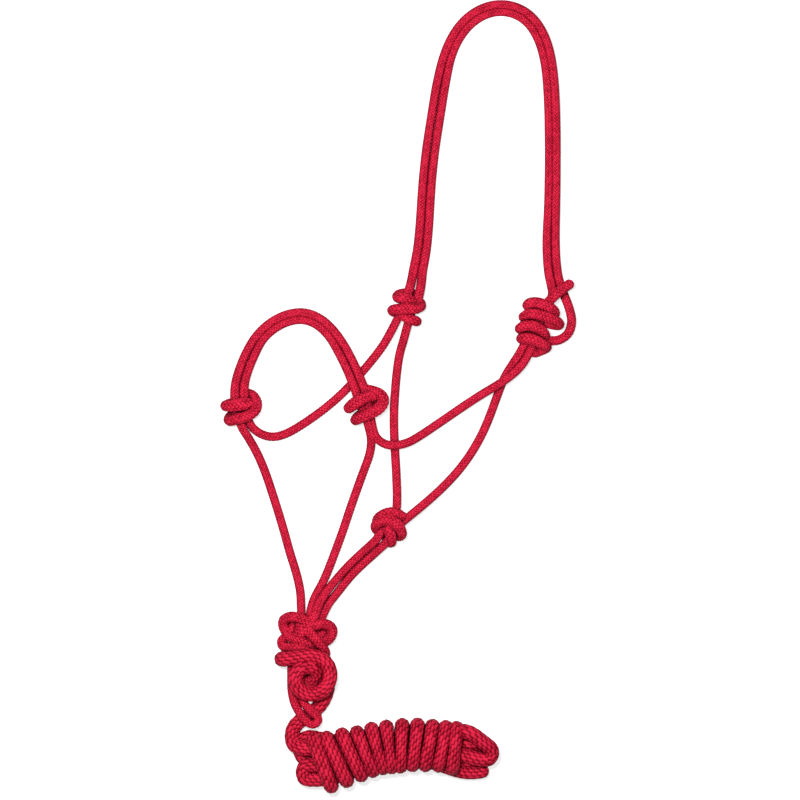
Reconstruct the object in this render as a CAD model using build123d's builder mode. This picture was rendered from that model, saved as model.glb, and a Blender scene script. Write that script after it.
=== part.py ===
"""Rope halter laid flat on a floor, with its lead rope hitched below the chin and wound in a hank.

Millimetres. X runs across the face, Y from the chin to the crown, Z up from the floor.
The origin is on the floor, below the middle of everything.
"""

import os
from math import radians, tan

from build123d import *

# Ropes
HALTER_ROPE = 8.0
LEAD_ROPE = 14.0
SIDE_GAP = 0.2  # between two strands that lie side by side
CROSS_GAP = 0.4  # between a strand and the one that it crosses over
FOLD_GAP = 0.4  # between the two cut ends at a fold line or at the swing point
ARC_SHARE = 0.45  # of the shorter run, used up by the arc at its end

# Heights of a halter strand's centre
FLOOR = HALTER_ROPE / 2
OVER = FLOOR + HALTER_ROPE + CROSS_GAP
HALF_UP = (FLOOR + OVER) / 2

# Heights of a lead rope's centre, and of a halter strand that crosses over it
LEAD_FLOOR = LEAD_ROPE / 2
OVER_LEAD = LEAD_ROPE + HALTER_ROPE / 2 + CROSS_GAP
LEAD_TOP = OVER_LEAD + HALTER_ROPE / 2 + LEAD_ROPE / 2 + CROSS_GAP

# Fold lines, along X: where a stretch of the halter can be lifted off the floor
NOSE_FOLD_Y = 12.5
CROWN_FOLD_Y = 118.0
CHIN_FOLD_Y = -175.5
# The point round which the hank swings on the floor
SWING_X, SWING_Y, SWING_Z = -99.0, -319.0, LEAD_FLOOR + 3.5

# Knots: each turn is a flat ring of rope that stands round the two strands in its middle
TURN_HEIGHT = 3 * HALTER_ROPE
CORE_LENGTH = 2 * HALTER_ROPE
CORE_OVERLAP = 0.2 * HALTER_ROPE  # of the two strands inside a knot, so that they make one solid

# Hitch: the ring of lead rope over the loop below the chin, its left side lying on the loop
RING_X, RING_Y, RING_RADIUS = -79.5, -262.0, 16.5
RING_TILT = 12.0

# Hank of lead rope
HANK_WIDTH = 4 * LEAD_ROPE
HANK_HEIGHT = 3 * LEAD_ROPE
HANK_CENTRE = HANK_HEIGHT / 2
HANK_AXIS = [(-62, -344, HANK_CENTRE), (4, -328.5, HANK_CENTRE), (73, -333.5, HANK_CENTRE)]
BIGHT_GAP = 0.2  # between the two legs of a bight
BIGHT_RADIUS = (LEAD_ROPE + BIGHT_GAP) / 2

# Middle lines of the stretches where two strands lie side by side
NOSEBAND = [
    (-148, NOSE_FOLD_Y, OVER), (-143.5, 27, OVER - 2), (-137.5, 41, HALF_UP - 1),
    (-129.5, 54, FLOOR), (-117.5, 65.5, FLOOR), (-102.5, 73, FLOOR), (-87, 74.5, FLOOR),
    (-73, 68.5, FLOOR), (-61.5, 57, FLOOR), (-51.5, 42, HALF_UP), (-44, 27, OVER + 0.2),
    (-38, NOSE_FOLD_Y, OVER),
]
CROWN = [
    (18.5, CROWN_FOLD_Y, FLOOR), (22.5, 136, FLOOR), (24.5, 158, FLOOR), (26, 187, FLOOR),
    (30, 224, FLOOR), (35.5, 260, FLOOR), (41, 294, FLOOR), (47.5, 320, FLOOR), (57.5, 341, FLOOR),
    (71.5, 355.5, FLOOR), (89, 363.5, FLOOR), (107, 363, FLOOR), (123, 354.5, FLOOR),
    (134.5, 338, FLOOR), (141.5, 314, FLOOR), (144.5, 280, FLOOR), (145.3, 232, FLOOR),
    (144.8, 182, FLOOR), (144, 144, FLOOR), (145.5, CROWN_FOLD_Y, FLOOR),
]
JAW = [
    (-12.5, -134.5, OVER), (-22.5, -143.5, HALF_UP), (-33.5, -153.5, FLOOR), (-44.5, -164, FLOOR),
    (-54.5, CHIN_FOLD_Y, FLOOR),
]

# Single strands between the knots
CHEEK_LEFT = [
    (-138.5, -27, OVER), (-130, -36, HALF_UP), (-118.5, -39.5, FLOOR), (-106.5, -37, FLOOR),
    (-94.5, -30.5, FLOOR), (-81.5, -22, FLOOR), (-68, -12, FLOOR), (-55, -1, FLOOR),
    (-43, 11, FLOOR), (-32.5, 23, FLOOR), (-22.5, 35, FLOOR), (-14.5, 45.5, FLOOR + 1),
    (-8, 56.5, HALF_UP), (-2.5, 67, OVER),
]
CHEEK_RIGHT = [
    (-22.5, -30.5, OVER), (-16.5, -40.5, OVER), (-5.5, -46, OVER), (8, -44.5, OVER - 0.5),
    (22, -37.5, HALF_UP - 1), (39.5, -25.5, FLOOR), (60, -11.5, FLOOR + 0.5),
    (78, 0.5, HALF_UP + 1), (92.5, 9, OVER), (104, 16.5, OVER + 0.2), (114.5, 26, OVER),
    (121.5, 38, OVER),
]
THROAT_LEFT = [
    (8.5, 63, OVER), (6, 53, HALF_UP + 1), (2, 40, FLOOR), (-0.5, 24, FLOOR), (-2.3, 5, FLOOR),
    (-3.3, -14, FLOOR), (-3.4, -31, FLOOR), (-2.7, -48, FLOOR), (-1.5, -66, FLOOR),
    (-0.7, -84, HALF_UP - 1), (-0.3, -97, OVER - 2), (-0.9, -109, OVER),
]
THROAT_RIGHT = [
    (110.5, 40.5, OVER), (105.5, 29.5, HALF_UP + 1), (100.5, 17.5, FLOOR), (96, 6, FLOOR),
    (91.5, -6, FLOOR), (86.5, -20, FLOOR), (80, -35.5, FLOOR), (70.5, -52.5, FLOOR),
    (58, -70, FLOOR), (43, -86, FLOOR + 1), (27, -100.5, HALF_UP + 1), (11, -113.5, OVER),
]
CHIN_LEFT = [
    (-149.5, -28, OVER), (-142.5, -39.5, HALF_UP), (-133.5, -54, FLOOR), (-125.5, -70.5, FLOOR),
    (-118.5, -89, FLOOR), (-112.2, -108.5, FLOOR), (-106.5, -128, FLOOR), (-101.3, -147, FLOOR),
    (-97, -163, FLOOR), (-93.5, CHIN_FOLD_Y, FLOOR),
]
CHIN_RIGHT = [
    (-31.5, -30.5, OVER), (-26.5, -42, HALF_UP + 1), (-26.5, -55, FLOOR + 1), (-31.5, -70, FLOOR),
    (-38.5, -89, FLOOR), (-45.3, -109, FLOOR), (-52, -129, FLOOR), (-58.8, -147.5, FLOOR),
    (-64.5, -162.5, FLOOR), (-70, CHIN_FOLD_Y, FLOOR),
]
TIE_LOOP = [
    (149.7, CROWN_FOLD_Y, FLOOR), (152, 104, FLOOR), (157.5, 92.5, FLOOR), (162, 79, FLOOR),
    (161.5, 65, FLOOR + 1), (154.5, 53.5, HALF_UP), (143, 47, OVER),
]
TIE_STRAND = [(141.3, CROWN_FOLD_Y, FLOOR), (141.5, 106, FLOOR), (139, 92, HALF_UP + 1)]
TIE_TAIL = [(137, 87.5, OVER + 4), (148.5, 95.5, OVER + 4), (160.5, 103.5, OVER + 1)]
LEAD_LOOP = [
    (-99, -238, OVER), (-99.5, -249, OVER_LEAD - 0.5), (-99, -264, OVER_LEAD - 1),
    (-98, -280, OVER_LEAD), (-94, -292, OVER_LEAD), (-86, -300, OVER_LEAD - 0.5),
    (-78, -306, OVER), (-72.5, -302.5, OVER - 1), (-77.5, -295, OVER_LEAD - 2),
    (-85, -288.5, OVER_LEAD), (-89.5, -278.5, OVER_LEAD - 1), (-91, -264, OVER_LEAD - 1),
    (-91, -249, OVER_LEAD - 0.5), (-90.5, -238, OVER),
]

# Lead rope, from the top of the hitch's ring round its left side and below it to the hank
HITCH_TAIL = [
    (-92, -250, LEAD_TOP), (-103, -248.5, LEAD_TOP - 1), (-108, -247.5, OVER_LEAD),
    (-104, -246.5, LEAD_FLOOR + 2), (-94, -245, LEAD_FLOOR), (-80, -246, LEAD_FLOOR),
    (-69, -252, LEAD_FLOOR), (-64.8, -263, LEAD_FLOOR), (-66, -275.5, LEAD_FLOOR),
    (-72, -286, LEAD_FLOOR), (-81.5, -293, LEAD_FLOOR), (-91, -299, LEAD_FLOOR),
    (-97, -307.5, LEAD_FLOOR + 1), (SWING_X, SWING_Y, SWING_Z),
]
LEAD_RUN = [
    (SWING_X, SWING_Y, SWING_Z), (-97.5, -328, LEAD_FLOOR + 7), (-91, -334, HANK_CENTRE - 3),
    (-81, -335.5, HANK_CENTRE), (-71, -334, HANK_CENTRE), (-62, -335, HANK_CENTRE),
]
LEAD_TIP = [(60, -351, LEAD_FLOOR + 6), (71, -352.5, LEAD_FLOOR + 4), (82, -351, LEAD_FLOOR + 2)]
BIGHT_LEFT = [
    (-56, -345, HANK_CENTRE), (-86.3, -346.8, HANK_CENTRE - 3), (-86.3, -361.2, HANK_CENTRE - 4),
    (-56, -359.4, HANK_CENTRE - 1),
]
BIGHT_RIGHT = [
    (66, -326, HANK_CENTRE), (86.3, -326, HANK_CENTRE - 4), (86.3, -340.4, HANK_CENTRE - 4),
    (66, -340.4, HANK_CENTRE),
]

# Turns of each knot: middle X and Y, heading of the long side in degrees, overall width in rope diameters
KNOT_TURNS = {
    "nose_knot_left": [(-150.5, -8, 6, 3.75), (-145, -18.5, -12, 4.125)],
    "nose_knot_right": [(-30.5, -3.5, 30, 4.25), (-26.5, -15, 32, 4.5)],
    "crown_knot": [(5, 91, -8, 3.5), (9, 80, 0, 4.5), (13, 70.5, 8, 3.5)],
    "tie_knot": [
        (134.5, 85, -12, 4.625), (135.5, 73.5, -10, 5.5), (127, 61.5, -10, 4.625), (129, 51, -20, 4.25),
    ],
    "throat_knot": [(-12.5, -118, 35, 4.5), (-5, -129.5, 35, 4.625)],
    "chin_knot": [(-90, -218, -8, 6.25), (-86, -229.5, 6, 5.75)],
}

# The strands' short ends between a knot and a fold line, which are part of the knot
KNOT_ENDS = {
    "nose_knot_left": [
        [(-152.2, NOSE_FOLD_Y, OVER), (-152.5, -8, OVER)],
        [(-143.8, NOSE_FOLD_Y, OVER), (-144.5, -8, OVER)],
    ],
    "nose_knot_right": [
        [(-42.8, NOSE_FOLD_Y, OVER), (-41.5, 3, OVER), (-34, -5, OVER)],
        [(-33.2, NOSE_FOLD_Y, OVER), (-27, -2, OVER)],
    ],
    "crown_knot": [
        [(14.3, CROWN_FOLD_Y, FLOOR), (12.5, 109.5, FLOOR), (10, 101, HALF_UP), (7.5, 90, OVER)],
        [(22.7, CROWN_FOLD_Y, FLOOR), (20.9, 109.5, FLOOR), (18.5, 101, HALF_UP), (15.5, 90, OVER)],
    ],
    "chin_knot": [
        [(-93.5, CHIN_FOLD_Y, FLOOR), (-91.5, -187, FLOOR), (-90.5, -200, HALF_UP), (-90, -216, OVER)],
        [(-70, CHIN_FOLD_Y, FLOOR), (-74, -186, FLOOR), (-77.5, -199, HALF_UP), (-80, -216, OVER)],
        [(-60, CHIN_FOLD_Y, FLOOR), (-62, -184, FLOOR), (-73, -197, OVER), (-79, -217, OVER + 4)],
        [(-49, CHIN_FOLD_Y, FLOOR), (-51, -184.5, FLOOR), (-64, -198, HALF_UP), (-76, -217, OVER)],
    ],
}

# The strands that end in each knot, and the end that does: 0 for the first point, -1 for the last
KNOT_STRANDS = {
    "nose_knot_left": [("cheek_left", 0), ("chin_left", 0)],
    "nose_knot_right": [("cheek_right", 0), ("chin_right", 0)],
    "crown_knot": [("cheek_left", -1), ("throat_left", 0)],
    "tie_knot": [
        ("cheek_right", -1), ("throat_right", 0), ("tie_loop", -1), ("tie_strand", -1), ("tie_tail", 0),
    ],
    "throat_knot": [("throat_left", -1), ("throat_right", -1), ("jaw_front", 0), ("jaw_back", 0)],
    "chin_knot": [("lead_loop", 0), ("lead_loop", -1)],
}


def beside(points, shift):
    """The points moved sideways by shift, and the end points along X, so that they stay on a fold line."""
    flat = [Vector(x, y) for x, y, z in points]
    sides = [(after - before).normalized().rotate(Axis.Z, 90) for before, after in zip(flat, flat[1:])]
    moved = [(points[0][0] + shift / sides[0].X, *points[0][1:])]
    for (x, y, z), side_in, side_out in zip(points[1:], sides, sides[1:]):
        across = (side_in + side_out) * (shift / (1 + side_in.dot(side_out)))
        moved.append((x + across.X, y + across.Y, z))
    moved.append((points[-1][0] + shift / sides[-1].X, *points[-1][1:]))
    return moved


def corner_radii(points):
    """Each corner's radius: ARC_SHARE of its shorter run, over the tangent of half its turn."""
    radii = []
    for before, corner, after in zip(points, points[1:], points[2:]):
        run_in = Vector(*corner) - Vector(*before)
        run_out = Vector(*after) - Vector(*corner)
        half_turn = radians(run_in.get_angle(run_out)) / 2
        radii.append(ARC_SHARE * min(run_in.length, run_out.length) / tan(half_turn))
    return radii


def trimmed(points, end, diameter):
    """The points with one end cut back from the centre that the other rope's ball turns round."""
    tip = Vector(*points[end])
    inner = Vector(*(points[1] if end == 0 else points[-2]))
    cut = tip + (inner - tip).normalized() * (diameter / 2 + FOLD_GAP)
    kept = list(points)
    kept[end] = tuple(cut)
    return kept


def add_rope(points, diameter, balls=(), radii=None):
    """Add a rope's tube, straight runs joined by tangent arcs, with a ball at each end named."""
    with BuildLine() as route:
        if len(points) > 2:
            FilletPolyline(*points, radius=radii or corner_radii(points))
        else:
            Line(*points)
    with BuildSketch(Plane(origin=route.line @ 0, z_dir=route.line % 0)) as section:
        Circle(diameter / 2)
    sweep(section.sketch, path=route.line)
    for end in balls:
        with Locations(points[end]):
            Sphere(diameter / 2)


def add_turn(x, y, heading, diameters):
    """Add one turn of a knot: a flat ring of rope that stands on the floor, its long side along heading."""
    width = diameters * HALTER_ROPE
    along = Vector(1, 0, 0).rotate(Axis.Z, heading)
    standing = Plane(origin=(x, y, TURN_HEIGHT / 2), x_dir=along, z_dir=along.rotate(Axis.Z, -90))
    with BuildSketch(standing, mode=Mode.PRIVATE) as ring:
        SlotOverall(width - HALTER_ROPE, TURN_HEIGHT - HALTER_ROPE)
    loop = ring.sketch.face().outer_wire()
    with BuildSketch(Plane(origin=loop @ 0, z_dir=loop % 0)) as section:
        Circle(HALTER_ROPE / 2)
    sweep(section.sketch, path=loop)


def add_core(turns):
    """Add the strands inside a knot, as one bar from the first turn to the last."""
    first, last = Vector(*turns[0][:2]), Vector(*turns[-1][:2])
    axis = (last - first).normalized()
    middle = (first + last) * 0.5 + Vector(0, 0, TURN_HEIGHT / 2)
    across = Plane(origin=middle, x_dir=axis.rotate(Axis.Z, 90), z_dir=axis)
    with BuildSketch(across) as section:
        SlotOverall(2 * (HALTER_ROPE + CORE_OVERLAP), HALTER_ROPE + 2 * CORE_OVERLAP)
    extrude(section.sketch, amount=(last - first).length / 2 + HALTER_ROPE / 2, both=True)


def save(part, name):
    part.label = name
    export_step(part, f"parts/{name}.step")


def print_radii(name, points):
    print(name, [round(radius, 1) for radius in corner_radii(points)])


pair_shift = (HALTER_ROPE + SIDE_GAP) / 2
strands = {
    "noseband_outer": beside(NOSEBAND, pair_shift),
    "noseband_inner": beside(NOSEBAND, -pair_shift),
    "crown_outer": beside(CROWN, pair_shift),
    "crown_inner": beside(CROWN, -pair_shift),
    "jaw_front": trimmed(beside(JAW, pair_shift), -1, HALTER_ROPE),
    "jaw_back": trimmed(beside(JAW, -pair_shift), -1, HALTER_ROPE),
    "cheek_left": CHEEK_LEFT,
    "cheek_right": CHEEK_RIGHT,
    "throat_left": THROAT_LEFT,
    "throat_right": THROAT_RIGHT,
    "chin_left": trimmed(CHIN_LEFT, -1, HALTER_ROPE),
    "chin_right": trimmed(CHIN_RIGHT, -1, HALTER_ROPE),
    "tie_loop": trimmed(TIE_LOOP, 0, HALTER_ROPE),
    "tie_strand": trimmed(TIE_STRAND, 0, HALTER_ROPE),
    "tie_tail": TIE_TAIL,
    "lead_loop": LEAD_LOOP,
}
balls = {name: (0, -1) for name in ("noseband_outer", "noseband_inner", "crown_outer", "crown_inner")}
balls["tie_tail"] = (-1,)

os.makedirs("parts", exist_ok=True)

for name, points in strands.items():
    print_radii(name, points)
    with BuildPart() as strand:
        add_rope(points, HALTER_ROPE, balls.get(name, ()))
    save(strand.part, name)

for name, turns in KNOT_TURNS.items():
    with BuildPart() as knot:
        for turn in turns:
            add_turn(*turn)
        add_core(turns)
        for strand_name, end in KNOT_STRANDS[name]:
            points = strands[strand_name]
            tip = Vector(*points[end])
            inward = (tip - Vector(*(points[1] if end == 0 else points[-2]))).normalized()
            add_rope([tuple(tip), tuple(tip + inward * CORE_LENGTH)], HALTER_ROPE)
        for points in KNOT_ENDS.get(name, []):
            if name == "chin_knot":
                add_rope(points, HALTER_ROPE, balls=(0,))
            else:
                add_rope(trimmed(points, 0, HALTER_ROPE), HALTER_ROPE)
    save(knot.part, name)

ring_z = LEAD_TOP - RING_RADIUS * tan(radians(RING_TILT))
hitch_tail = trimmed(HITCH_TAIL, -1, LEAD_ROPE)
print_radii("lead_hitch", hitch_tail)
with BuildPart() as lead_hitch:
    with Locations(Location((RING_X, RING_Y, ring_z), (0, RING_TILT, 0))):
        Torus(RING_RADIUS, LEAD_ROPE / 2)
    add_rope(hitch_tail, LEAD_ROPE)
save(lead_hitch.part, "lead_hitch")

print_radii("lead_run", LEAD_RUN)
with BuildPart() as lead_run:
    add_rope(LEAD_RUN, LEAD_ROPE, balls=(0,))
save(lead_run.part, "lead_run")

with BuildPart() as hank:
    with BuildLine() as axis:
        ThreePointArc(*HANK_AXIS)
    start, heading = axis.line @ 0, axis.line % 0
    with BuildSketch(Plane(origin=start, x_dir=heading.rotate(Axis.Z, 90), z_dir=heading)):
        SlotOverall(HANK_WIDTH, HANK_HEIGHT)
    sweep(path=axis.line)
save(hank.part, "hank")

for name, points in {"hank_bight_left": BIGHT_LEFT, "hank_bight_right": BIGHT_RIGHT}.items():
    with BuildPart() as bight:
        add_rope(points, LEAD_ROPE, radii=[BIGHT_RADIUS, BIGHT_RADIUS])
    save(bight.part, name)

with BuildPart() as lead_tip:
    add_rope(LEAD_TIP, LEAD_ROPE, balls=(-1,))
save(lead_tip.part, "lead_tip")
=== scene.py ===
"""Rope halter laid flat on a pale floor, its lead rope hitched below the chin and wound in a hank.

Routes are in millimetres, as in the part's own design, and every object is in metres.
X runs across the face, Y from the chin to the crown, Z up from the floor.
"""

import bpy
import numpy as np
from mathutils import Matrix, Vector


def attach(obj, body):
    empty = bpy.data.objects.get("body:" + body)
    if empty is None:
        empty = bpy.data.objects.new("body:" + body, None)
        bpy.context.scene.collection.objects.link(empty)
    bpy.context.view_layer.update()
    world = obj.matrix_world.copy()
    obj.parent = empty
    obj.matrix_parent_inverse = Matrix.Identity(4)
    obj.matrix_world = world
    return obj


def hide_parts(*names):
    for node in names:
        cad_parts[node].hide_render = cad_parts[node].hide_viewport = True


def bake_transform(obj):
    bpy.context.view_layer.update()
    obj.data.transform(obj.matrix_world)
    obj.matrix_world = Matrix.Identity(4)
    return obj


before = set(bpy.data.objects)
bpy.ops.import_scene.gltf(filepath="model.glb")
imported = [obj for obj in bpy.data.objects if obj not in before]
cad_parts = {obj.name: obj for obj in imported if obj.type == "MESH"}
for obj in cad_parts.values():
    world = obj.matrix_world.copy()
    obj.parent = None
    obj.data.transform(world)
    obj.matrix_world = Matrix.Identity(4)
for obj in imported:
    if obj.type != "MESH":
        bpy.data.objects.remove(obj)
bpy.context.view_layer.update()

MM = 0.001
HALTER_ROPE = 8.0
LEAD_ROPE = 14.0
SIDE_GAP = 0.2  # between two strands that lie side by side

# Heights of a strand's centre: on the floor, over another strand, half way up, and over a knot's strands
FLOOR = HALTER_ROPE / 2
OVER = 12.4
HALF_UP = 8.2
WRAP = 20.6

# Heights of a lead rope's centre, and of a halter strand that crosses over it
LEAD_FLOOR = LEAD_ROPE / 2
OVER_LEAD = 18.4
LEAD_TOP = 29.8
HANK_CENTRE = 21.0

# Lines across Y handed to fold, which doesn't use them, for where a stretch of the halter is lifted and
# where
# the hank is swung: Y where the bend would start and where it would be over
NOSE_FOLD = (5.0, 38.0)
CROWN_FOLD = (106.0, 148.0)
CHIN_FOLD = (-164.0, -200.0)
HANK_SWING = (-309.0, -334.0)

# ---------------------------------------------------------------------------------------------------
# Routes of the halter's strands. The middle part of each follows the part's own route.

NOSEBAND = [
    (-148, 12.5, OVER), (-143.5, 27, OVER - 2), (-137.5, 41, HALF_UP - 1),
    (-129.5, 54, FLOOR), (-117.5, 65.5, FLOOR), (-102.5, 73, FLOOR), (-87, 74.5, FLOOR),
    (-73, 68.5, FLOOR), (-61.5, 57, FLOOR), (-51.5, 42, HALF_UP), (-44, 27, OVER + 0.2),
    (-38, 12.5, OVER),
]
CROWN = [
    (19.3, 118, FLOOR), (23, 136, FLOOR), (25.2, 158, FLOOR), (26.8, 187, FLOOR),
    (30, 224, FLOOR), (35.5, 260, FLOOR), (41, 294, FLOOR), (47.5, 320, FLOOR), (57.5, 341, FLOOR),
    (71.5, 355.5, FLOOR), (89, 363.5, FLOOR), (107, 363, FLOOR), (123, 354.5, FLOOR),
    (134.5, 338, FLOOR), (141.5, 314, FLOOR), (144.5, 280, FLOOR), (145.3, 232, FLOOR),
    (144.8, 182, FLOOR), (144, 144, FLOOR), (145.5, 118, FLOOR),
]
JAW = [
    (-12.5, -134.5, OVER), (-22.5, -143.5, HALF_UP), (-33.5, -153.5, FLOOR), (-44.5, -164, FLOOR),
    (-54.5, -175.5, FLOOR),
]
CHEEK_LEFT = [
    (-143, -14, OVER - 2), (-139.5, -27, HALF_UP + 1), (-130.5, -35.5, HALF_UP - 1), (-118.5, -39.5, FLOOR),
    (-106.5, -37, FLOOR), (-94.5, -30.5, FLOOR), (-81.5, -22, FLOOR), (-68, -12, FLOOR),
    (-55, -1, FLOOR), (-43, 11, FLOOR), (-32.5, 23, FLOOR), (-22.5, 35, FLOOR),
    (-14.5, 45.5, FLOOR + 1), (-8, 56.5, HALF_UP), (-2.5, 67, OVER), (4, 80, OVER),
]
CHEEK_RIGHT = [
    (-26, -14, OVER), (-24, -30, HALF_UP + 1), (-19.5, -41.5, HALF_UP + 2), (-8, -47.5, OVER),
    (8, -45.5, OVER - 0.5), (22, -37.5, HALF_UP - 1), (39.5, -25.5, FLOOR), (60, -11.5, FLOOR + 0.5),
    (78, 0.5, HALF_UP + 1), (92.5, 9, OVER), (104, 16.5, OVER + 0.2), (115, 26, OVER),
    (123, 38, OVER), (128, 52, OVER),
]
THROAT_LEFT = [
    (13, 78, OVER), (8.5, 63, OVER), (6, 53, HALF_UP + 1), (2, 40, FLOOR), (-0.5, 24, FLOOR),
    (-2.3, 5, FLOOR), (-3.3, -14, FLOOR), (-3.4, -31, FLOOR), (-2.7, -48, FLOOR), (-1.5, -66, FLOOR),
    (-0.7, -84, HALF_UP - 1), (-0.3, -97, OVER - 2), (-0.9, -109, OVER), (-5, -122, OVER),
]
THROAT_RIGHT = [
    (122, 54, OVER), (115.5, 40.5, OVER), (108, 29.5, HALF_UP + 1), (100.5, 17.5, FLOOR),
    (96, 6, FLOOR), (91.5, -6, FLOOR), (86.5, -20, FLOOR), (80, -35.5, FLOOR), (70.5, -52.5, FLOOR),
    (58, -70, FLOOR), (43, -86, FLOOR + 1), (27, -100.5, HALF_UP + 1), (11, -113.5, OVER),
    (-2, -124, OVER),
]
CHIN_LEFT = [
    (-151.5, -14, OVER), (-147.5, -28, OVER + 1), (-140, -39.5, HALF_UP + 1), (-131.8, -54, FLOOR),
    (-124.7, -70.5, FLOOR), (-118.5, -89, FLOOR), (-112.2, -108.5, FLOOR), (-106.5, -128, FLOOR),
    (-101.3, -147, FLOOR), (-96.2, -163, FLOOR), (-92.8, -175.5, FLOOR), (-90.8, -187, FLOOR),
    (-90.5, -200, HALF_UP + 2), (-90, -216, OVER + 2),
]
CHIN_RIGHT = [
    (-30.5, -14, OVER), (-27.5, -28, OVER + 1.5), (-24.3, -40, HALF_UP + 2), (-25.5, -54, FLOOR + 1),
    (-31.5, -70, FLOOR), (-38.5, -89, FLOOR), (-45.3, -109, FLOOR), (-52, -129, FLOOR),
    (-58.8, -147.5, FLOOR), (-64.5, -162.5, FLOOR), (-70, -175.5, FLOOR), (-76.5, -187, FLOOR),
    (-81.5, -199, HALF_UP + 2), (-83.5, -214, OVER + 2),
]
# Where the doubled strands go on, inside the knots at their ends
NOSEBAND_OUTER_ENDS = ([(-151.5, -14, OVER), (-153, -2, OVER)], [(-30.5, 5, OVER), (-26, -14, OVER)])
NOSEBAND_INNER_ENDS = (
    [(-143, -14, OVER), (-144.5, -2, OVER)], [(-39, 4, OVER + 1), (-37, -5, OVER), (-32.5, -14, OVER)],
)
CROWN_OUTER_ENDS = (
    [(4, 80, OVER), (8, 91, OVER), (12.6, 104, HALF_UP)],
    [(152.7, 104, FLOOR), (157, 93.5, FLOOR), (162, 80.5, FLOOR), (164.3, 68, FLOOR + 1),
     (160, 56, HALF_UP - 2), (146, 49.5, HALF_UP), (130, 54, OVER)],
)
CROWN_INNER_ENDS = (
    [(15, 78, OVER), (19, 89, OVER), (22.3, 104, HALF_UP)],
    [(144.4, 104, FLOOR), (146, 95, HALF_UP), (142, 87, OVER - 2), (134, 74, OVER), (128, 58, OVER)],
)
JAW_FRONT_ENDS = (
    [(-2, -124, OVER)],
    [(-57.5, -186.5, FLOOR), (-67, -198, FLOOR + 4), (-74, -215, OVER)],
)
JAW_BACK_ENDS = (
    [(-10, -120, OVER)],
    [(-68, -186, FLOOR + 4), (-75.5, -198, OVER + 2), (-80, -215, WRAP - 3)],
)
TIE_TAIL = [
    (164.5, 106.5, OVER + 0.5), (155.5, 100.5, OVER + 6), (147, 93.5, OVER + 9), (139.5, 85.5, OVER + 3),
    (134, 72, OVER), (129, 60, OVER),
]
LEAD_LOOP = [
    (-92, -226, OVER), (-97, -238, OVER), (-99.3, -249, OVER_LEAD - 0.5), (-99.6, -264, OVER_LEAD - 1),
    (-99.4, -277, OVER_LEAD), (-97, -288.5, OVER_LEAD), (-91.5, -298.5, OVER_LEAD - 1),
    (-85.5, -306.5, OVER_LEAD - 3), (-78, -309.5, OVER + 1), (-73, -303.5, OVER),
    (-80.5, -296.5, OVER_LEAD - 3), (-88.5, -288.5, OVER_LEAD - 0.5), (-91.6, -279, OVER_LEAD - 0.5),
    (-91.4, -264, OVER_LEAD - 1), (-91, -249, OVER_LEAD - 0.5), (-89.5, -238, OVER), (-84, -226, OVER),
]

# Routes of the turns that each knot takes over and under its strands
NOSE_KNOT_LEFT = [
    (-148, 1, 4.5), (-140.5, 2.5, 5.5), (-134.5, -0.5, 10), (-131.4, -7, 16), (-133, -14.5, 19.5),
    (-141, -19.5, WRAP), (-150.5, -22, WRAP), (-158, -24.5, 17), (-159, -21, 6), (-151, -16, 4.2),
    (-141, -11, 4.2), (-136, -8.5, 9), (-138, -7.5, 18), (-146, -8.3, WRAP + 0.8), (-154.5, -9.5, WRAP),
    (-162, -10, 16), (-161, -9, 6), (-153, -7, 4.2), (-146, -5, 4.2),
]
NOSE_KNOT_RIGHT = [
    (-38, 4, 5), (-30, 6, 8), (-23, 4.5, 15), (-15.5, 1.5, 19.5), (-12.4, -4.5, WRAP), (-16, -11.5, WRAP),
    (-24.5, -16.7, WRAP), (-34, -20.5, 19.5), (-40.5, -24, 13), (-38, -20.5, 5), (-30, -15, 4.2),
    (-22, -8.5, 5), (-18, -3.5, 11), (-21.5, -1, 17.5), (-28.5, -0.5, WRAP + 0.5), (-36.5, -5, WRAP + 1),
    (-42, -9.8, 20), (-47, -12.8, 13.5), (-44, -9, 5), (-36, -3, 4.2),
]
CROWN_KNOT = [
    (16, 95, 4.2), (7, 96, 4.5), (0, 94.5, 8), (-0.5, 91.5, 16), (5, 91.5, 19.5), (10, 90.5, 19),
    (15, 88, 13), (18.5, 87.5, 5.5), (22, 87, 9), (22.3, 83, 16.5), (17, 81.3, WRAP), (8, 81.4, WRAP + 1),
    (0, 81, WRAP), (-5.3, 80.3, 15), (-4.5, 79, 6), (3, 77, 4.2), (11, 73, 4.2), (17, 69.8, 6.5),
    (18.5, 69.5, 14), (14.5, 70.8, 19), (8.5, 73, 19.5), (3, 76, 16), (0, 79, 9),
]
THROAT_KNOT = [
    (5, -114, 14), (0, -110.3, 18), (-5.5, -109.3, 19.2), (-12, -110.8, 18.5), (-18, -114.5, 14),
    (-20, -119, 8), (-16, -122, 4.2), (-12, -128, 4.2), (-18.5, -127.5, 6), (-21.5, -123, 12),
    (-18, -118.5, 18.5), (-10, -116, WRAP + 1.5), (-2.5, -118.5, WRAP + 2), (2.8, -124.5, WRAP),
    (4.6, -131, 14.5), (0, -132.5, 6), (-7, -128, 4.2), (-10.5, -124, 7), (-10, -121.5, 13),
    (-8, -125, 19.5), (-6.2, -131.5, 19.5), (-5.2, -138, 14), (-7.5, -138, 6), (-11, -132, 4.2),
]
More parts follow.
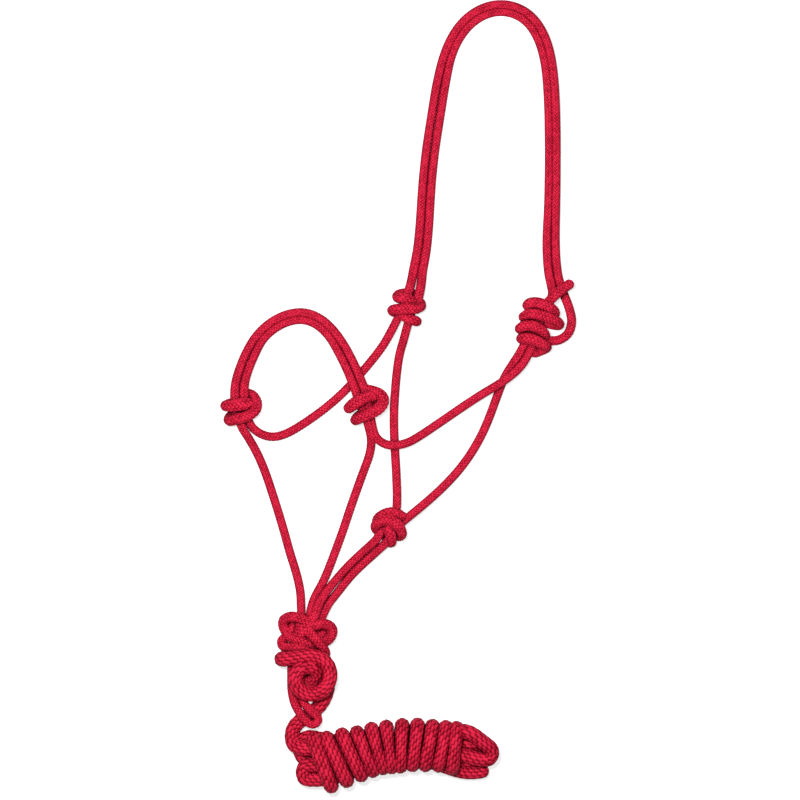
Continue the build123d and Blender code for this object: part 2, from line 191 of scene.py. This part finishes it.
TIE_KNOT = [
    (146, 80, 5), (138, 86, 4.5), (129, 88, 4.5), (122.5, 86.5, 8), (121.5, 83.5, 15), (125, 87, 19.5),
    (131.5, 87.2, WRAP), (140, 84, WRAP + 0.4), (146.5, 80.3, 18.5), (148.5, 76.5, 12), (145, 76, 5),
    (134, 80, 4.2), (122, 77, 5), (118, 73, 9), (118.7, 74.5, 16), (124, 77, WRAP - 0.3),
    (132, 76.5, WRAP + 0.6), (142, 73.2, WRAP + 0.4), (150, 69.5, 17.5), (153, 66, 10), (147, 66, 4.6),
    (136, 70, 4.2), (122, 68, 4.2), (115, 63, 8), (114.5, 62.3, 15), (118.5, 65.5, 19.8),
    (127, 65.8, WRAP + 0.6), (134.5, 62, WRAP + 0.2), (139, 57, 15.5), (138, 53.5, 8), (131, 55, 4.2),
    (121, 56, 4.6), (116, 53.8, 9), (116, 53, 16), (121, 54.3, WRAP), (129, 52, WRAP + 0.6),
    (136.5, 48, 19), (141, 45.5, 13), (138, 43.8, 6), (132, 41.5, 5), (128.5, 39.8, 7), (125, 43, 11),
]
CHIN_KNOT_LEFT = [
    (-80, -216, 10), (-86, -211.5, 17), (-93, -208, WRAP - 0.5), (-101.5, -207, 18.5), (-108.5, -211.5, 14),
    (-106, -221, 11.5), (-99, -228, 15), (-90, -230, 19), (-80.5, -234, 17), (-76, -243, 8),
]
CHIN_KNOT_RING = [
    (-92, -209, 6), (-98, -212, 10), (-98.5, -220, 13), (-103.5, -226.5, 10), (-109.5, -230.5, 8),
    (-107, -236.5, 10), (-98, -236.5, 16.5), (-87, -236, 17.5), (-77, -239.5, 12), (-70, -243, 5),
]
CHIN_KNOT_RIGHT = [
    (-94, -221, 13), (-87, -218, 18), (-77.5, -215.5, WRAP - 0.3), (-67, -213.5, 19), (-60, -219, 15.5),
    (-62.5, -228, 12), (-70, -232.5, 8), (-82, -236, 5),
]
CHIN_KNOT_CROSS = [
    (-92, -213.5, 13), (-85.5, -219.5, 18.5), (-78, -226.5, WRAP + 1), (-71.5, -234.5, WRAP + 0.4),
    (-67, -241.5, 14.5), (-69, -246, 5.5), (-79, -242, 4.2),
]
CHIN_KNOT_CENTRE = [
    (-77, -204, 12), (-81, -212, 18), (-88, -219.5, WRAP + 0.3), (-95, -227, 17), (-98, -234, 9),
]
CHIN_KNOT_BELOW = [
    (-100, -214, 4.5), (-92, -222, 4.5), (-82, -226, 4.5), (-72, -221, 4.5), (-66, -217, 6),
    (-70, -226, 4.5), (-82, -231, 4.5), (-96, -232, 4.5),
]

# Routes of the lead rope. The hitch starts with its end tucked in its ring and runs down to the hank.
LEAD_HITCH = [
    (-88, -262, 6), (-81, -269, 8), (-75, -266, 13), (-75, -258.5, 19), (-82.5, -253.5, 26),
    (-92.5, -256, 29.8), (-97.5, -266, LEAD_TOP), (-92.5, -277, 28.2), (-79, -281.5, 25.5),
    (-66, -274.5, 23.2), (-62, -261, 22.6), (-67.5, -248.5, 23.8), (-80, -243.5, 26), (-92, -245.5, 27.5),
    (-102.5, -247, 26), (-110.5, -247.5, 18), (-104, -246, 8.5), (-94, -245, LEAD_FLOOR),
    (-80, -246, LEAD_FLOOR), (-69, -252, LEAD_FLOOR), (-64.8, -263, LEAD_FLOOR),
    (-65.5, -276, LEAD_FLOOR), (-70, -287.5, LEAD_FLOOR), (-78.5, -297, LEAD_FLOOR),
    (-89, -303.5, LEAD_FLOOR), (-97, -310.5, LEAD_FLOOR + 1), (-99.5, -319, 10.5), (-98, -327.5, 14),
    (-91, -331.5, 18), (-80, -331.5, HANK_CENTRE), (-66, -332, HANK_CENTRE), (-50, -331, HANK_CENTRE),
    (-34, -329, HANK_CENTRE),
]
BIGHT_LEFT = [
    (-30, -341, 21), (-48, -344.5, 21), (-66, -346.5, 21), (-79, -346.5, 20), (-88.5, -348, 18),
    (-88.5, -359.5, 17), (-79, -360.5, 17), (-66, -359.5, 19), (-50, -355, 21),
]
BIGHT_RIGHT = [
    (46, -318, 14), (56, -314.5, 23), (64, -314.5, 29), (71, -317.5, 30), (77, -322.5, 27.5),
    (83, -327, 24), (89, -332, 20), (87.5, -341, 17.5), (78, -341.5, 18.5), (66, -338.5, 20),
    (50, -335, 21), (32, -334, 21),
]
CORE_LEFT = [
    (-30, -326, 18), (-52, -326, 14), (-72, -322.5, 11), (-86, -320, 9), (-93, -329, 9.5), (-89, -341, 11),
    (-78, -344, 11), (-58, -346, 14), (-34, -342, 20),
]
CORE_RIGHT = [
    (26, -326, 20), (48, -327, 17), (64, -327, 14), (78, -328, 12), (84, -335.5, 11), (76, -341.5, 12),
    (56, -342, 15), (28, -340, 20),
]
LEAD_TIP = [
    (0, -335, 20), (20, -340, 20), (40, -346, 17), (53, -351, 13), (64, -353.5, 10.5), (74, -353.5, 9),
    (86, -351.5, 8),
]

# The hank's turns, from the chin's side: X of the middle of each on top, how far it leans to the right on
# the way down, Y of its middle, half its width to the rope's centre, and how wide its rope is pressed
TURN_X = (-70.5, -57, -43, -30.5, -19, -8, 3.5, 16.5, 29.5, 42, 53.5)
TURN_LEAN = (17, 19, 18, 15, 11, 5, -2, -5, -7, -7, -4)
TURN_Y = (-344.3, -341.5, -337, -334, -331, -329.5, -328.4, -327.6, -328.2, -329, -330.6)
TURN_HALF_WIDTH = (22.4, 20, 19.2, 18, 18.6, 19.2, 19.6, 19, 18.4, 18.2, 19)
TURN_PRESSED = (1.0, 0.99, 0.95, 0.87, 0.81, 0.77, 0.82, 0.88, 0.88, 0.84, 0.89)
TURN_HALF_HEIGHT = 13.5
TURN_POINTS = 16  # on each turn
LAST_TURN_SHIFT = 4.0  # of the last turn's way back below


def metres(points):
    return [tuple(MM * value for value in point) for point in points]


def beside(points, shifts):
    """The points moved sideways, each by its own shift, mitred at the corners, the end points along X."""
    flat = np.array([point[:2] for point in points], float)
    runs = np.diff(flat, axis=0)
    runs /= np.linalg.norm(runs, axis=1)[:, None]
    sides = np.stack([-runs[:, 1], runs[:, 0]], axis=1)
    moved = [(points[0][0] + shifts[0] / sides[0][0], *points[0][1:])]
    for point, shift, side_in, side_out in zip(points[1:], shifts[1:], sides, sides[1:]):
        across = (side_in + side_out) * shift / (1 + side_in @ side_out)
        moved.append((point[0] + across[0], point[1] + across[1], point[2]))
    moved.append((points[-1][0] + shifts[-1] / sides[-1][0], *points[-1][1:]))
    return moved


def hank_turns():
    """The hank's turns as points of one spline: over the top from one side to the other, and back below."""
    points = []
    for turn, (x, lean, y, wide) in enumerate(zip(TURN_X, TURN_LEAN, TURN_Y, TURN_HALF_WIDTH)):
        start_x, end_x = x - lean / 2, x + lean / 2
        last = turn == len(TURN_X) - 1
        next_x = start_x + LAST_TURN_SHIFT if last else TURN_X[turn + 1] - TURN_LEAN[turn + 1] / 2
        next_y = y if last else TURN_Y[turn + 1]
        for step in range(TURN_POINTS):
            angle = 2 * np.pi * step / TURN_POINTS
            below = angle > np.pi
            share = (1 + np.cos(angle)) / 2 if below else (1 - np.cos(angle)) / 2
            at_x = end_x + (next_x - end_x) * share if below else start_x + (end_x - start_x) * share
            at_y = y + (next_y - y) * share if below else y
            height = HANK_CENTRE + TURN_HALF_HEIGHT * np.sin(angle)
            points.append((at_x, at_y + wide * np.cos(angle), height))
    return points


# ---------------------------------------------------------------------------------------------------
# Ropes as meshes

HALTER_STEP, HALTER_SIDES = 0.45, 60
LEAD_STEP, LEAD_SIDES = 0.8, 70
KNOT_THICK = 1.17  # a knot's turns are thicker than a free strand
WAVER, WAVER_LENGTH, WAVER_TWIST = 0.012, 9.0, 31.0  # a rope isn't quite round, nor evenly thick

# A stitch, with 1 as its column's width across and as its own length along
STITCH_HALF_WIDTH = 0.66
STITCH_HALF_LENGTH = 0.72  # of the oval that it narrows along
STITCH_HEIGHT, STITCH_SLOPE = 0.9, 0.3  # at its middle, and how it drops towards its far end
STITCH_END, STITCH_DIVE = 0.66, 0.26  # from the middle to where it is hidden, and how long it takes to dive


class Stitches:
    """A rope's surface: columns of long stitches, each shifted along the rope from the column before."""

    def __init__(self, radius, depth, columns, length, stagger, lean, turn):
        self.radius, self.depth = radius, depth  # over the stitches' crowns, and from there to the gaps
        self.columns, self.length, self.stagger = columns, length, stagger
        self.lean, self.turn = lean, turn  # of a stitch across its column, and from one column to the next

    def surface(self, around, along):
        """Height of the stitches, 0 in the gaps to 1, and a shade from 0 to 1 for each stitch."""
        height = np.zeros(np.broadcast(around, along).shape)
        shade = np.zeros_like(height)
        column_at = self.columns * around
        for beside_by in (-1, 0, 1):
            column = np.floor(column_at) + beside_by
            place = along / self.length + column % self.columns * self.stagger
            lean = self.lean * np.where(column % 2 == 0, 1, self.turn)
            for shift_by in (-1, 0, 1):
                stitch = np.floor(place) + shift_by
                length = place - stitch - 0.5
                across = column_at - column - 0.5 - lean * length
                narrowed = np.clip(1 - (length / STITCH_HALF_LENGTH) ** 2, 0.0001, 1)
                width = STITCH_HALF_WIDTH * np.sqrt(narrowed)
                body = np.sqrt(np.clip(1 - (across / width) ** 2, 0, 1))
                body *= STITCH_HEIGHT - STITCH_SLOPE * length
                body *= np.clip((STITCH_END - np.abs(length)) / STITCH_DIVE, 0, 1)
                shown = body > height
                height = np.where(shown, body, height)
                shade = np.where(shown, scatter(column % self.columns, stitch), shade)
        return np.clip(height, 0, 1), shade


HALTER_BRAID = Stitches(radius=4.25, depth=0.85, columns=12, length=3.1, stagger=0.5, lean=0.7, turn=-1)
LEAD_BRAID = Stitches(radius=7.2, depth=1.2, columns=12, length=5.8, stagger=0.5, lean=0.3, turn=1)


def centre_line(name, points, step):
    """Evenly spaced points along the NURBS line through a route."""
    curve = bpy.data.curves.new(name + "_line", "CURVE")
    curve.dimensions = "3D"
    curve.resolution_u = 24
    spline = curve.splines.new("NURBS")
    spline.points.add(len(points) - 1)
    for control, point in zip(spline.points, metres(points)):
        control.co = (*point, 1)
    spline.order_u = 3
    spline.use_endpoint_u = True
    holder = bpy.data.objects.new(name + "_line", curve)
    drawn = bpy.data.meshes.new_from_object(holder)
    line = np.array([vertex.co for vertex in drawn.vertices], float)
    bpy.data.meshes.remove(drawn)
    bpy.data.objects.remove(holder)
    bpy.data.curves.remove(curve)
    gone = np.concatenate([[0], np.cumsum(np.linalg.norm(np.diff(line, axis=0), axis=1))])
    count = max(8, int(round(gone[-1] / (step * MM))))
    even = np.linspace(0, gone[-1], count + 1)
    return np.stack([np.interp(even, gone, line[:, axis]) for axis in range(3)], axis=1)


def frames(line):
    """Tangent and two normals at each point, turned as little as possible from one to the next."""
    tangents = np.gradient(line, axis=0)
    tangents /= np.linalg.norm(tangents, axis=1)[:, None]
    first = np.cross(tangents[0], (0, 0, 1) if abs(tangents[0][2]) < 0.9 else (1, 0, 0))
    normals = [first / np.linalg.norm(first)]
    for tangent in tangents[1:]:
        normal = normals[-1] - tangent * (normals[-1] @ tangent)
        normals.append(normal / np.linalg.norm(normal))
    normals = np.array(normals)
    return tangents, normals, np.cross(tangents, normals)


def scatter(a, b):
    """A number from 0 to 1 for each stitch, the same each run."""
    value = np.sin(a * 12.9898 + b * 78.233) * 43758.5453
    return value - np.floor(value)


def rope(name, points, lead=False, flat=(), thick=1.0, round_end=()):
    """One rope as a mesh along its route, and the line it follows. Over 1, flat presses it wide."""
    if lead:
        step, sides, braid = LEAD_STEP, LEAD_SIDES, LEAD_BRAID
    else:
        step, sides, braid = HALTER_STEP, HALTER_SIDES, HALTER_BRAID
    line = centre_line(name, points, step)
    tangents, normals, binormals = frames(line)
    along = np.concatenate([[0], np.cumsum(np.linalg.norm(np.diff(line, axis=0), axis=1))]) / MM
    around = np.arange(sides) / sides
    height, shade = braid.surface(around[None, :], along[:, None])
    size = (braid.radius - braid.depth * (1 - height)) * thick * MM
    waver = WAVER * np.sin(along / WAVER_LENGTH)[:, None]
    size *= 1 + waver * np.cos(2 * np.pi * around + along[:, None] / WAVER_TWIST)
    for end in round_end:
        away = along if end == 0 else along[-1] - along
        size *= np.sqrt(np.clip(1 - (1 - np.clip(away / braid.radius, 0, 1)) ** 2, 0.0004, 1))[:, None]
    turned = 2 * np.pi * around
    spoke = np.cos(turned)[None, :, None] * normals[:, None]
    spoke = spoke + np.sin(turned)[None, :, None] * binormals[:, None]
    offset = spoke * size[:, :, None]
    if len(flat):
        level = 1 - np.abs(tangents[:, 2])
        wide = np.interp(np.linspace(0, 1, len(line)), np.linspace(0, 1, len(flat)), flat)
        wide = 1 + (wide - 1) * level
        offset *= np.stack([wide, wide, wide ** -0.5], axis=1)[:, None, :]
    vertices = (line[:, None] + offset).reshape(-1, 3)
    rows = len(line)
    index = np.arange(rows * sides).reshape(rows, sides)
    turned_index = np.roll(index, -1, axis=1)
    quads = np.stack([index[:-1], turned_index[:-1], turned_index[1:], index[1:]], axis=-1).reshape(-1, 4)
    caps = np.concatenate([index[0][::-1], index[-1]])
    mesh = bpy.data.meshes.new(name)
    mesh.vertices.add(len(vertices))
    mesh.vertices.foreach_set("co", vertices.ravel())
    mesh.loops.add(quads.size + caps.size)
    mesh.loops.foreach_set("vertex_index", np.concatenate([quads.ravel(), caps]))
    mesh.polygons.add(len(quads) + 2)
    starts = np.concatenate([np.arange(len(quads)) * 4, quads.size + np.array([0, sides])])
    mesh.polygons.foreach_set("loop_start", starts)
    mesh.update(calc_edges=True)
    mesh.polygons.foreach_set("use_smooth", np.ones(len(quads) + 2, bool))
    for attribute, values in (("relief", height), ("shade", shade)):
        layer = mesh.attributes.new(attribute, "FLOAT", "POINT")
        layer.data.foreach_set("value", values.astype(np.float32).ravel())
    mesh.update()
    piece = bpy.data.objects.new(name, mesh)
    bpy.context.scene.collection.objects.link(piece)
    piece.data.materials.append(materials["lead_rope" if lead else "halter_rope"])
    return piece, line


# ---------------------------------------------------------------------------------------------------
# Materials

# Linear colours of each rope: between its stitches, on their sides and on their crowns; the darker gaps and
# sides are painted shade
HALTER_COLOURS = ((0.018, 0.0001, 0.0010), (0.26, 0.0022, 0.013), (0.78, 0.021, 0.066))
LEAD_COLOURS = ((0.008, 0.0001, 0.0008), (0.24, 0.0020, 0.012), (0.74, 0.019, 0.062))
THREAD_CONTRAST, STITCH_CONTRAST = 0.34, 0.22  # of the fine threads, and from one stitch to the next
THREAD_HEIGHT = 0.0004
SPECULAR = 0.04
# Painted shade in the grooves between ropes: ambient occlusion darkens the colour where another rope is
# near
PAINTED_SHADE_REACH = 0.006  # how far off another rope still darkens a surface
PAINTED_SHADE_OPEN = (0.15, 0.75)  # openness at which a groove is darkest, and at which it isn't darkened
PAINTED_SHADE_DARKEST = 0.12


def nodes_of(name):
    material = bpy.data.materials.new(name)
    material.use_nodes = True
    return material, material.node_tree.nodes, material.node_tree.links


def math_node(nodes, operation, factor=0.0, added=0.0):
    node = nodes.new("ShaderNodeMath")
    node.operation = operation
    node.inputs[1].default_value = factor
    node.inputs[2].default_value = added
    return node


def rope_material(name, colours, steps, thread_size, roughness):
    """Dyed braid with fine threads, painted darker as shade down its stitches' sides and between them,
    lighter on their crowns.
    """
    material, nodes, links = nodes_of(name)
    shader = nodes["Principled BSDF"]
    relief = nodes.new("ShaderNodeAttribute")
    relief.attribute_name = "relief"
    shade = nodes.new("ShaderNodeAttribute")
    shade.attribute_name = "shade"
    place = nodes.new("ShaderNodeTexCoord")

    threads = nodes.new("ShaderNodeTexNoise")
    threads.inputs["Scale"].default_value = 1 / thread_size
    threads.inputs["Detail"].default_value = 3
    links.new(place.outputs["Object"], threads.inputs["Vector"])

    lift = math_node(nodes, "MULTIPLY_ADD", THREAD_CONTRAST, -THREAD_CONTRAST / 2)
    links.new(threads.outputs["Fac"], lift.inputs[0])
    own = math_node(nodes, "MULTIPLY_ADD", STITCH_CONTRAST)
    links.new(shade.outputs["Fac"], own.inputs[0])
    links.new(lift.outputs["Value"], own.inputs[2])
    total = math_node(nodes, "ADD")
    links.new(relief.outputs["Fac"], total.inputs[0])
    links.new(own.outputs["Value"], total.inputs[1])

    # Painted shade: the colour darkens with the relief, from the stitches' crowns down their sides into the
    # gaps
    ramp = nodes.new("ShaderNodeValToRGB")
    dark, middle, light = colours
    ramp.color_ramp.elements[0].position = steps[0]
    ramp.color_ramp.elements[0].color = (*dark, 1)
    ramp.color_ramp.elements[1].color = (*light, 1)
    between = ramp.color_ramp.elements.new(steps[1])
    between.color = (*middle, 1)
    links.new(total.outputs["Value"], ramp.inputs["Fac"])

    # Painted shade: where ropes press on each other, an ambient occlusion node darkens the base colour
    pressed = nodes.new("ShaderNodeAmbientOcclusion")
    pressed.samples = 12
    pressed.inputs["Distance"].default_value = PAINTED_SHADE_REACH
    pressed.inputs["Color"].default_value = (1, 1, 1, 1)
    painted_groove_shade = nodes.new("ShaderNodeMapRange")
    painted_groove_shade.inputs["From Min"].default_value, painted_groove_shade.inputs["From Max"].default_value = PAINTED_SHADE_OPEN
    painted_groove_shade.inputs["To Min"].default_value = PAINTED_SHADE_DARKEST
    links.new(pressed.outputs["AO"], painted_groove_shade.inputs["Value"])
    colour_with_painted_shade = nodes.new("ShaderNodeVectorMath")
    colour_with_painted_shade.operation = "SCALE"
    links.new(ramp.outputs["Color"], colour_with_painted_shade.inputs[0])
    links.new(painted_groove_shade.outputs["Result"], colour_with_painted_shade.inputs["Scale"])
    links.new(colour_with_painted_shade.outputs["Vector"], shader.inputs["Base Color"])

    bump = nodes.new("ShaderNodeBump")
    bump.inputs["Strength"].default_value = 0.45
    bump.inputs["Distance"].default_value = THREAD_HEIGHT
    links.new(threads.outputs["Fac"], bump.inputs["Height"])
    links.new(bump.outputs["Normal"], shader.inputs["Normal"])
    shader.inputs["Roughness"].default_value = roughness
    shader.inputs["Specular IOR Level"].default_value = SPECULAR
    shader.inputs["Sheen Weight"].default_value = 0.02
    shader.inputs["Sheen Roughness"].default_value = 0.4
    shader.inputs["Sheen Tint"].default_value = (1.0, 0.2, 0.3, 1)
    return material


def floor_material():
    material, nodes, links = nodes_of("pale_floor")
    shader = nodes["Principled BSDF"]
    shader.inputs["Base Color"].default_value = (0.55, 0.55, 0.555, 1)
    shader.inputs["Emission Color"].default_value = (1, 1, 1, 1)
    shader.inputs["Emission Strength"].default_value = 0.72
    shader.inputs["Roughness"].default_value = 0.9
    shader.inputs["Specular IOR Level"].default_value = SPECULAR
    return material


materials = {
    "halter_rope": rope_material("halter_rope", HALTER_COLOURS, (0.28, 0.68), 0.0007, 0.7),
    "lead_rope": rope_material("lead_rope", LEAD_COLOURS, (0.26, 0.7), 0.0009, 0.6),
}

# ---------------------------------------------------------------------------------------------------
# Camera: straight above, so that the picture is VIEW_WIDTH wide at the floor

VIEW_WIDTH = 0.752
VIEW_CENTRE = (0.00235, -0.0042)
CAMERA_HEIGHT = 9.0
camera_data = bpy.data.cameras.new("camera")
camera_data.sensor_width = 36
camera_data.lens = 36 * CAMERA_HEIGHT / VIEW_WIDTH
camera = bpy.data.objects.new("camera", camera_data)
camera.location = (*VIEW_CENTRE, CAMERA_HEIGHT)
bpy.context.scene.collection.objects.link(camera)
bpy.context.scene.camera = camera


# ---------------------------------------------------------------------------------------------------
# The object

HALTER, NOSE, CROWN_BODY, CHIN, HANK = "cheeks_and_chin", "noseband", "crown", "chin_end", "hank"


def fold(piece, child, lines, parent=HALTER):
    """Bakes the piece's transform into its mesh; child, lines and parent are not used."""
    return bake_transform(piece)


# Where the inner strand of a pair lies partly below the outer one: the points of its route, how far in from
# the middle line it stays, and how much the outer strand rises
NOSEBAND_PRESSED = (3, 9)
CROWN_PRESSED = (7, 18)
PRESSED_SHIFT, PRESSED_RISE = 2.7, 1.6


def doubled(middle, outer, ends, pressed=()):
    """One strand of a doubled stretch. Between the two points in pressed, the inner strand lies lower."""
    shift = (HALTER_ROPE + SIDE_GAP) / 2
    shifts = [shift if outer else -shift] * len(middle)
    points = list(middle)
    for at in range(*pressed) if pressed else ():
        if outer:
            points[at] = (*points[at][:2], points[at][2] + PRESSED_RISE)
        else:
            shifts[at] = -PRESSED_SHIFT
    return ends[0] + beside(points, shifts) + ends[1]


# A doubled strand is pressed wider near its knots
NEAR_KNOTS = (1.18, 1.05, 1, 1, 1, 1, 1, 1, 1, 1.05, 1.1)

noseband_outer = doubled(NOSEBAND, True, NOSEBAND_OUTER_ENDS, NOSEBAND_PRESSED)
noseband_inner = doubled(NOSEBAND, False, NOSEBAND_INNER_ENDS, NOSEBAND_PRESSED)
crown_outer = doubled(CROWN, True, CROWN_OUTER_ENDS, CROWN_PRESSED)
crown_inner = doubled(CROWN, False, CROWN_INNER_ENDS, CROWN_PRESSED)
jaw_front = doubled(JAW, True, JAW_FRONT_ENDS)
jaw_back = doubled(JAW, False, JAW_BACK_ENDS)

# name: route, declared length in metres, fold (child body, its lines) or None, CAD nodes it stands for
STRANDS = {
    "noseband_outer": (noseband_outer, 0.248, (NOSE, NOSE_FOLD), ["noseband_outer"]),
    "noseband_inner": (noseband_inner, 0.223, (NOSE, NOSE_FOLD), ["noseband_inner"]),
    "crown_outer": (crown_outer, 0.69, (CROWN_BODY, CROWN_FOLD), ["crown_outer", "tie_loop"]),
    "crown_inner": (crown_inner, 0.64, (CROWN_BODY, CROWN_FOLD), ["crown_inner", "tie_strand"]),
    "jaw_front": (jaw_front, 0.12, (CHIN, CHIN_FOLD), ["jaw_front"]),
    "jaw_back": (jaw_back, 0.12, (CHIN, CHIN_FOLD), ["jaw_back"]),
    "chin_left": (CHIN_LEFT, 0.216, (CHIN, CHIN_FOLD), ["chin_left"]),
    "chin_right": (CHIN_RIGHT, 0.213, (CHIN, CHIN_FOLD), ["chin_right"]),
    "cheek_left": (CHEEK_LEFT, 0.215, None, ["cheek_left"]),
    "cheek_right": (CHEEK_RIGHT, 0.212, None, ["cheek_right"]),
    "throat_left": (THROAT_LEFT, 0.204, None, ["throat_left"]),
    "throat_right": (THROAT_RIGHT, 0.222, None, ["throat_right"]),
}
for name, (route, length, bend, stands_for) in STRANDS.items():
    piece, line = rope(name, route, flat=NEAR_KNOTS if bend and "chin" not in name else ())
    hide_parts(*stands_for)
    if bend:
        fold(piece, *bend)
    else:
        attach(piece, HALTER)

tail, tail_line = rope("tie_tail", TIE_TAIL, thick=KNOT_THICK, round_end=(0,))
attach(tail, HALTER)
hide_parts("tie_tail")

loop, loop_line = rope("lead_loop", LEAD_LOOP)
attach(loop, CHIN)
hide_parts("lead_loop")

# name: body, routes with how flat each is pressed along it (nothing where it is round throughout)
KNOTS = {
    "nose_knot_left": (HALTER, [(NOSE_KNOT_LEFT, (1, 1, 1.05, 1.1, 1.1, 1.05, 1, 1.3, 1.3, 1.2, 1))]),
    "nose_knot_right": (HALTER, [(NOSE_KNOT_RIGHT, (1, 1.1, 1.15, 1.15, 1.1, 1.05, 1, 1.15, 1.15, 1))]),
    "crown_knot": (HALTER, [(CROWN_KNOT, (1, 1.1, 1.1, 1, 1, 1.15, 1.15, 1, 1.05, 1.05, 1))]),
    "tie_knot": (HALTER, [(TIE_KNOT, (1, 1.05, 1.1, 1, 1.05, 1.1, 1, 1.1, 1.1, 1, 1.15, 1.1, 1))]),
    "throat_knot": (HALTER, [(THROAT_KNOT, (1, 1.05, 1, 1, 1.15, 1.15, 1, 1.1, 1.15, 1))]),
    "chin_knot": (CHIN, [
        (CHIN_KNOT_LEFT, ()), (CHIN_KNOT_RING, ()), (CHIN_KNOT_RIGHT, ()), (CHIN_KNOT_CROSS, ()),
        (CHIN_KNOT_CENTRE, (1, 1.2, 1.2, 1)), (CHIN_KNOT_BELOW, ()),
    ]),
}
for name, (body, routes) in KNOTS.items():
    for number, (route, flat) in enumerate(routes):
        piece, line = rope(name if number == 0 else f"{name}_{number}", route, flat=flat, thick=KNOT_THICK)
        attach(piece, body)
        if number == 0:
            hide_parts(name)

hitch, hitch_line = rope("lead_hitch", LEAD_HITCH, lead=True)
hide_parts("lead_hitch", "lead_run")
fold(hitch, HANK, HANK_SWING, parent=CHIN)

for name, route, length, node, flat, round_end in (
    ("hank_turns", hank_turns(), 1.15, "hank", TURN_PRESSED, ()),
    ("hank_bight_left", BIGHT_LEFT, 0.107, "hank_bight_left", (), ()),
    ("hank_bight_right", BIGHT_RIGHT, 0.1225, "hank_bight_right", (), ()),
    ("hank_core_left", CORE_LEFT, None, None, (), ()),
    ("hank_core_right", CORE_RIGHT, None, None, (), ()),
    ("lead_tip", LEAD_TIP, 0.09, "lead_tip", (), (-1,)),
):
    piece, line = rope(name, route, lead=True, flat=flat, round_end=round_end)
    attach(piece, HANK)
    if node:
        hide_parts(node)

# ---------------------------------------------------------------------------------------------------
# Floor and light

bpy.ops.mesh.primitive_plane_add(size=200, location=(0, 0, -0.0002))
floor = bpy.context.object
floor.name = "floor"
floor.data.materials.append(floor_material())


def soft_light(name, place, size, power):
    data = bpy.data.lights.new(name, "AREA")
    data.shape = "DISK"
    data.size = size
    data.energy = power
    light = bpy.data.objects.new(name, data)
    light.location = place
    light.rotation_euler = Vector(place).to_track_quat("Z", "Y").to_euler()
    bpy.context.scene.collection.objects.link(light)


floor.visible_diffuse = False  # the ropes' sides stay dark, as on a cut-out studio ground
soft_light("key", (-0.3, 0.25, 2.5), 0.5, 66)
soft_light("fill", (0.7, -0.5, 2.3), 1.2, 5)
world = bpy.data.worlds.new("studio")
world.use_nodes = True
world.node_tree.nodes["Background"].inputs["Color"].default_value = (1, 1, 1, 1)
world.node_tree.nodes["Background"].inputs["Strength"].default_value = 0.14
bpy.context.scene.world = world
bpy.context.scene.view_settings.view_transform = "Standard"
